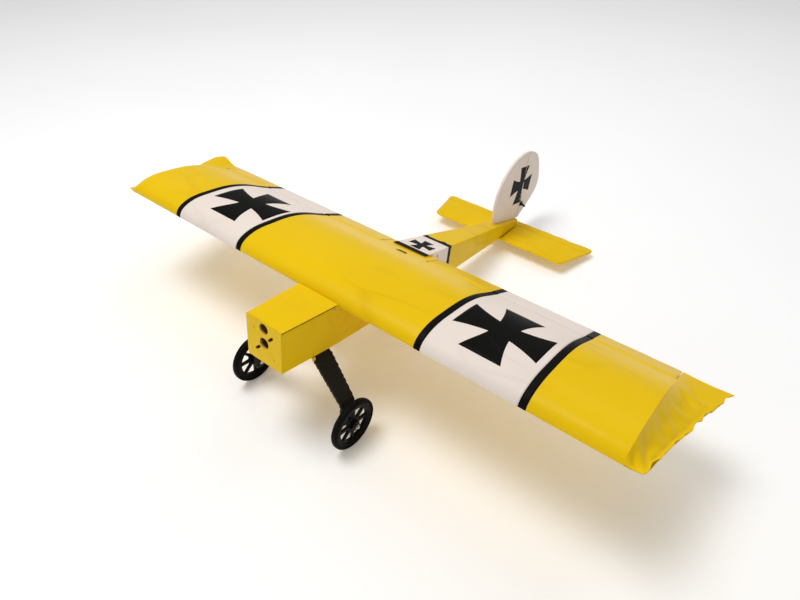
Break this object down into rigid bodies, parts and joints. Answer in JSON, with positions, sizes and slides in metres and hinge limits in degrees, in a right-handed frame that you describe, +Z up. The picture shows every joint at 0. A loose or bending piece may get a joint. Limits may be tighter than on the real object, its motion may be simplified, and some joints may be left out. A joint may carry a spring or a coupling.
{
  "type": "model aeroplane",
  "caption": "High-wing stick model aeroplane of film-covered board, with hinged ailerons, elevator and rudder, on two spoked wheels and a tail skid.",
  "frame": {"origin": "on the floor, on the centre line, under the middle of the length", "axes": "+X to port along the span, +Y aft, +Z up; the nose points along -Y"},
  "size_m": [1.102, 0.8236, 0.2237],
  "materials": {
    "yellow_covered_board": "gloss",
    "yellow_film": "gloss",
    "white_covered_board": "satin",
    "white_board": "matte",
    "white_film": "satin",
    "black_film": "satin",
    "plywood": "matte",
    "black_nylon": "matte",
    "steel": "satin",
    "black_plastic": "satin",
    "black_tyre": "matte",
    "taped_strap": "matte"
  },
  "bodies": {
    "airframe": {"aft_deck": "yellow_covered_board", "aileron_hinges_port": "black_nylon", "aileron_hinges_starboard": "black_nylon", "axle_nuts_port": "steel", "axle_nuts_starboard": "steel", "axle_port": "steel", "axle_starboard": "steel", "elevator_hinges": "black_nylon", "fin": "white_covered_board", "firewall": "plywood", "former_rear": "white_board", "former_tail": "white_board", "former_wing": "white_board", "front_film": "yellow_film", "front_wing_dowel": "plywood", "fuselage_floor": "yellow_covered_board", "fuselage_side_port": "yellow_covered_board", "fuselage_side_starboard": "yellow_covered_board", "gear_plate": "plywood", "gear_screws": "steel", "hinge_spar_port": "white_board", "hinge_spar_starboard": "white_board", "nose_deck": "yellow_covered_board", "rudder_hinges": "black_nylon", "stabiliser": "yellow_covered_board", "tail_post": "plywood", "tail_skid": "plywood", "undercarriage_strap": "taped_strap", "wing_lower_sheet_port": "yellow_covered_board", "wing_lower_sheet_starboard": "yellow_covered_board", "wing_ribs_port": "white_board", "wing_ribs_starboard": "white_board", "wing_spar": "plywood", "wing_tip_port": "yellow_covered_board", "wing_tip_starboard": "yellow_covered_board", "wing_upper_skin_port": "yellow_covered_board", "wing_upper_skin_starboard": "yellow_covered_board"},
    "port_aileron": {"aileron_port": "yellow_covered_board", "aileron_hinge_pins_port": "steel", "aileron_horn_port": "black_nylon"},
    "starboard_aileron": {"aileron_starboard": "yellow_covered_board", "aileron_hinge_pins_starboard": "steel", "aileron_horn_starboard": "black_nylon"},
    "elevator": {"elevator": "yellow_covered_board", "elevator_hinge_pins": "steel", "elevator_horn": "black_nylon"},
    "rudder": {"rudder": "white_covered_board", "rudder_hinge_pins": "steel", "rudder_horn": "black_nylon"},
    "port_wheel": {"wheel_port": "black_plastic", "tyre_port": "black_tyre"},
    "starboard_wheel": {"wheel_starboard": "black_plastic", "tyre_starboard": "black_tyre"}
  },
  "joints": [
    {"name": "port_aileron_hinge", "type": "hinge", "parent": "airframe", "child": "port_aileron", "pos_m": [0.265, -0.08718, 0.1644], "axis": [1, 0, 0], "range_deg": [-22, 22]},
    {"name": "starboard_aileron_hinge", "type": "hinge", "parent": "airframe", "child": "starboard_aileron", "pos_m": [-0.265, -0.08718, 0.1644], "axis": [1, 0, 0], "range_deg": [-22, 22]},
    {"name": "elevator_hinge", "type": "hinge", "parent": "airframe", "child": "elevator", "pos_m": [0, 0.32596, 0.01663], "axis": [1, 0, 0], "range_deg": [-20, 20]},
    {"name": "rudder_hinge", "type": "hinge", "parent": "airframe", "child": "rudder", "pos_m": [0, 0.34005, 0.11926], "axis": [0, 0.1359, 0.9907], "range_deg": [-25, 25]},
    {"name": "port_wheel_spin", "type": "hinge", "parent": "airframe", "child": "port_wheel", "pos_m": [0.113, -0.35463, 0.044], "axis": [1, 0, 0], "continuous": true},
    {"name": "starboard_wheel_spin", "type": "hinge", "parent": "airframe", "child": "starboard_wheel", "pos_m": [-0.113, -0.35463, 0.044], "axis": [1, 0, 0], "continuous": true}
  ],
  "couplings": [
    {"joint": "starboard_aileron_hinge", "follows": "port_aileron_hinge", "ratio": -1}
  ]
}
